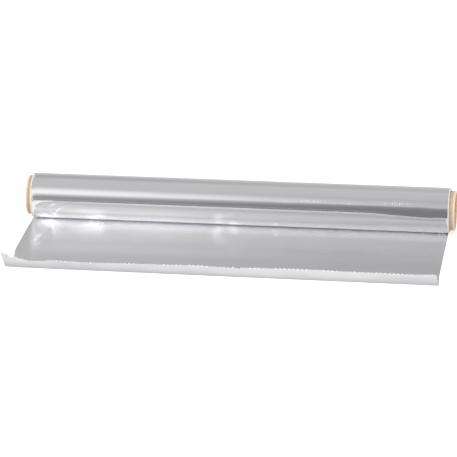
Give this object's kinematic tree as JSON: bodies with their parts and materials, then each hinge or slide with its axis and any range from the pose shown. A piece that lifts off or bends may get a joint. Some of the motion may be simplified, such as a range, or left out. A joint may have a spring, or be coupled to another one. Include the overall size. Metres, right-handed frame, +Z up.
{
  "type": "aluminium foil roll",
  "caption": "Household aluminium foil wound on a cardboard core, lying on its unrolled sheet, whose saw-toothed torn edge is bent up into a lip.",
  "frame": {"origin": "on the table, straight under the roll's axis and halfway along it, on the underside of the foil", "axes": "+X along the roll, towards the end that the picture shows open; +Z up; the free sheet lies towards -Y"},
  "size_m": [0.3064, 0.1169, 0.0322],
  "materials": {
    "kraft_board": "matt kraft board, spiral wound",
    "bare_foil": "rolled foil, bright on the outside of the roll and satin on the inside"
  },
  "bodies": {
    "root": {"cardboard_core": "kraft_board", "foil": "bare_foil"}
  },
  "joints": []
}
